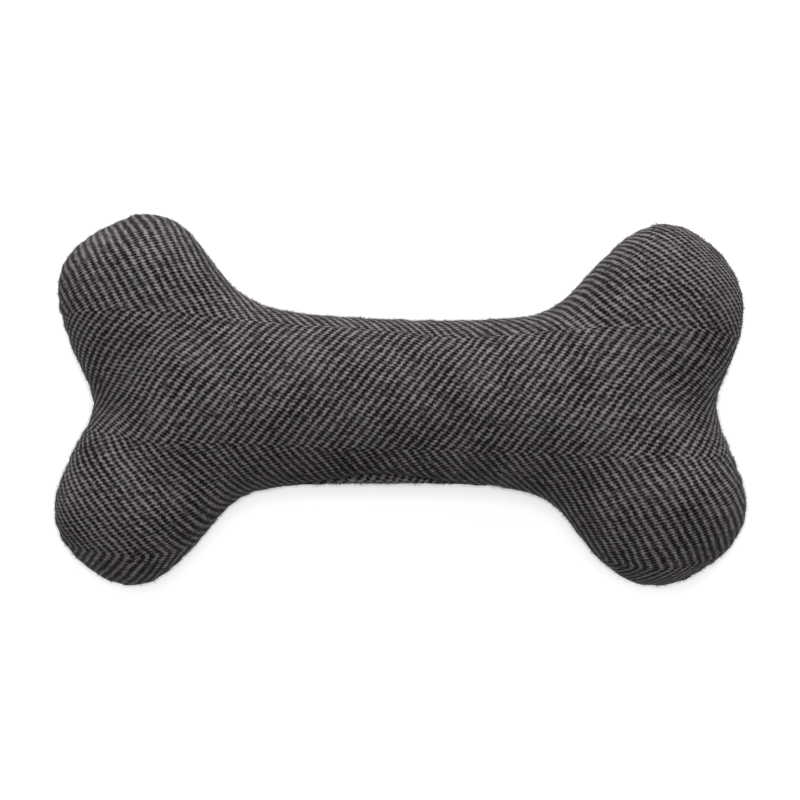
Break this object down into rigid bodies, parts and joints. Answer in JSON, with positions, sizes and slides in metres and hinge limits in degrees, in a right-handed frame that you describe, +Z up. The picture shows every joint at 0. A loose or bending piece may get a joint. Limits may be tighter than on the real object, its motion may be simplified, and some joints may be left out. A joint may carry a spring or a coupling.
{
  "type": "squeaky dog toy",
  "caption": "Stuffed cloth dog toy shaped as a bone with round knobs, with a squeaker in the middle of its shaft that sounds when the front is pressed.",
  "frame": {"origin": "under the middle of the bone's outline, on the surface that its back panel lies on", "axes": "+X along the bone, +Y across it, +Z up, out of its front panel"},
  "size_m": [0.2288, 0.1224, 0.0508],
  "materials": {
    "tweed": "woven herringbone wool tweed in mid grey and near black, matt",
    "sewing_thread": "twisted polyester sewing thread",
    "polyester_fibre": "loose white polyester fibre",
    "cotton": "plain woven undyed cotton",
    "soft_plastic": "thin blow-moulded soft polyethylene",
    "hard_plastic": "moulded hard plastic",
    "reed_film": "stiff clear polyester film"
  },
  "bodies": {
    "toy": {"front_panel": "tweed", "back_panel": "tweed", "seam_needle_thread": "sewing_thread", "seam_bobbin_thread": "sewing_thread", "closing_thread": "sewing_thread", "fill_knob_upper_left": "polyester_fibre", "fill_knob_upper_right": "polyester_fibre", "fill_knob_lower_left": "polyester_fibre", "fill_knob_lower_right": "polyester_fibre", "fill_shaft_left": "polyester_fibre", "fill_shaft_right": "polyester_fibre", "fill_squeaker_nest": "polyester_fibre", "pouch_front": "cotton", "pouch_back": "cotton", "pouch_thread": "cotton", "squeaker_bladder": "soft_plastic", "reed_sleeve": "hard_plastic", "reed_bed": "hard_plastic", "reed_wedge": "hard_plastic"},
    "press_pad": {"fill_press_pad": "polyester_fibre"},
    "reed": {"reed": "reed_film"}
  },
  "joints": [
    {"name": "squeeze", "type": "slide", "parent": "toy", "child": "press_pad", "axis": [0, 0, -1], "range_m": [0, 0.009], "stiffness_N_per_m": 2500, "deforming": ["front_panel", "pouch_front", "squeaker_bladder"]},
    {"name": "reed_flex", "type": "hinge", "parent": "toy", "child": "reed", "pos_m": [-0.00374, -0.00021, 0.01411], "axis": [-1, 0, 0], "range_deg": [0, 8]}
  ],
  "couplings": [
    {"joint": "reed_flex", "follows": "squeeze", "rad_per_m": 15.5}
  ]
}
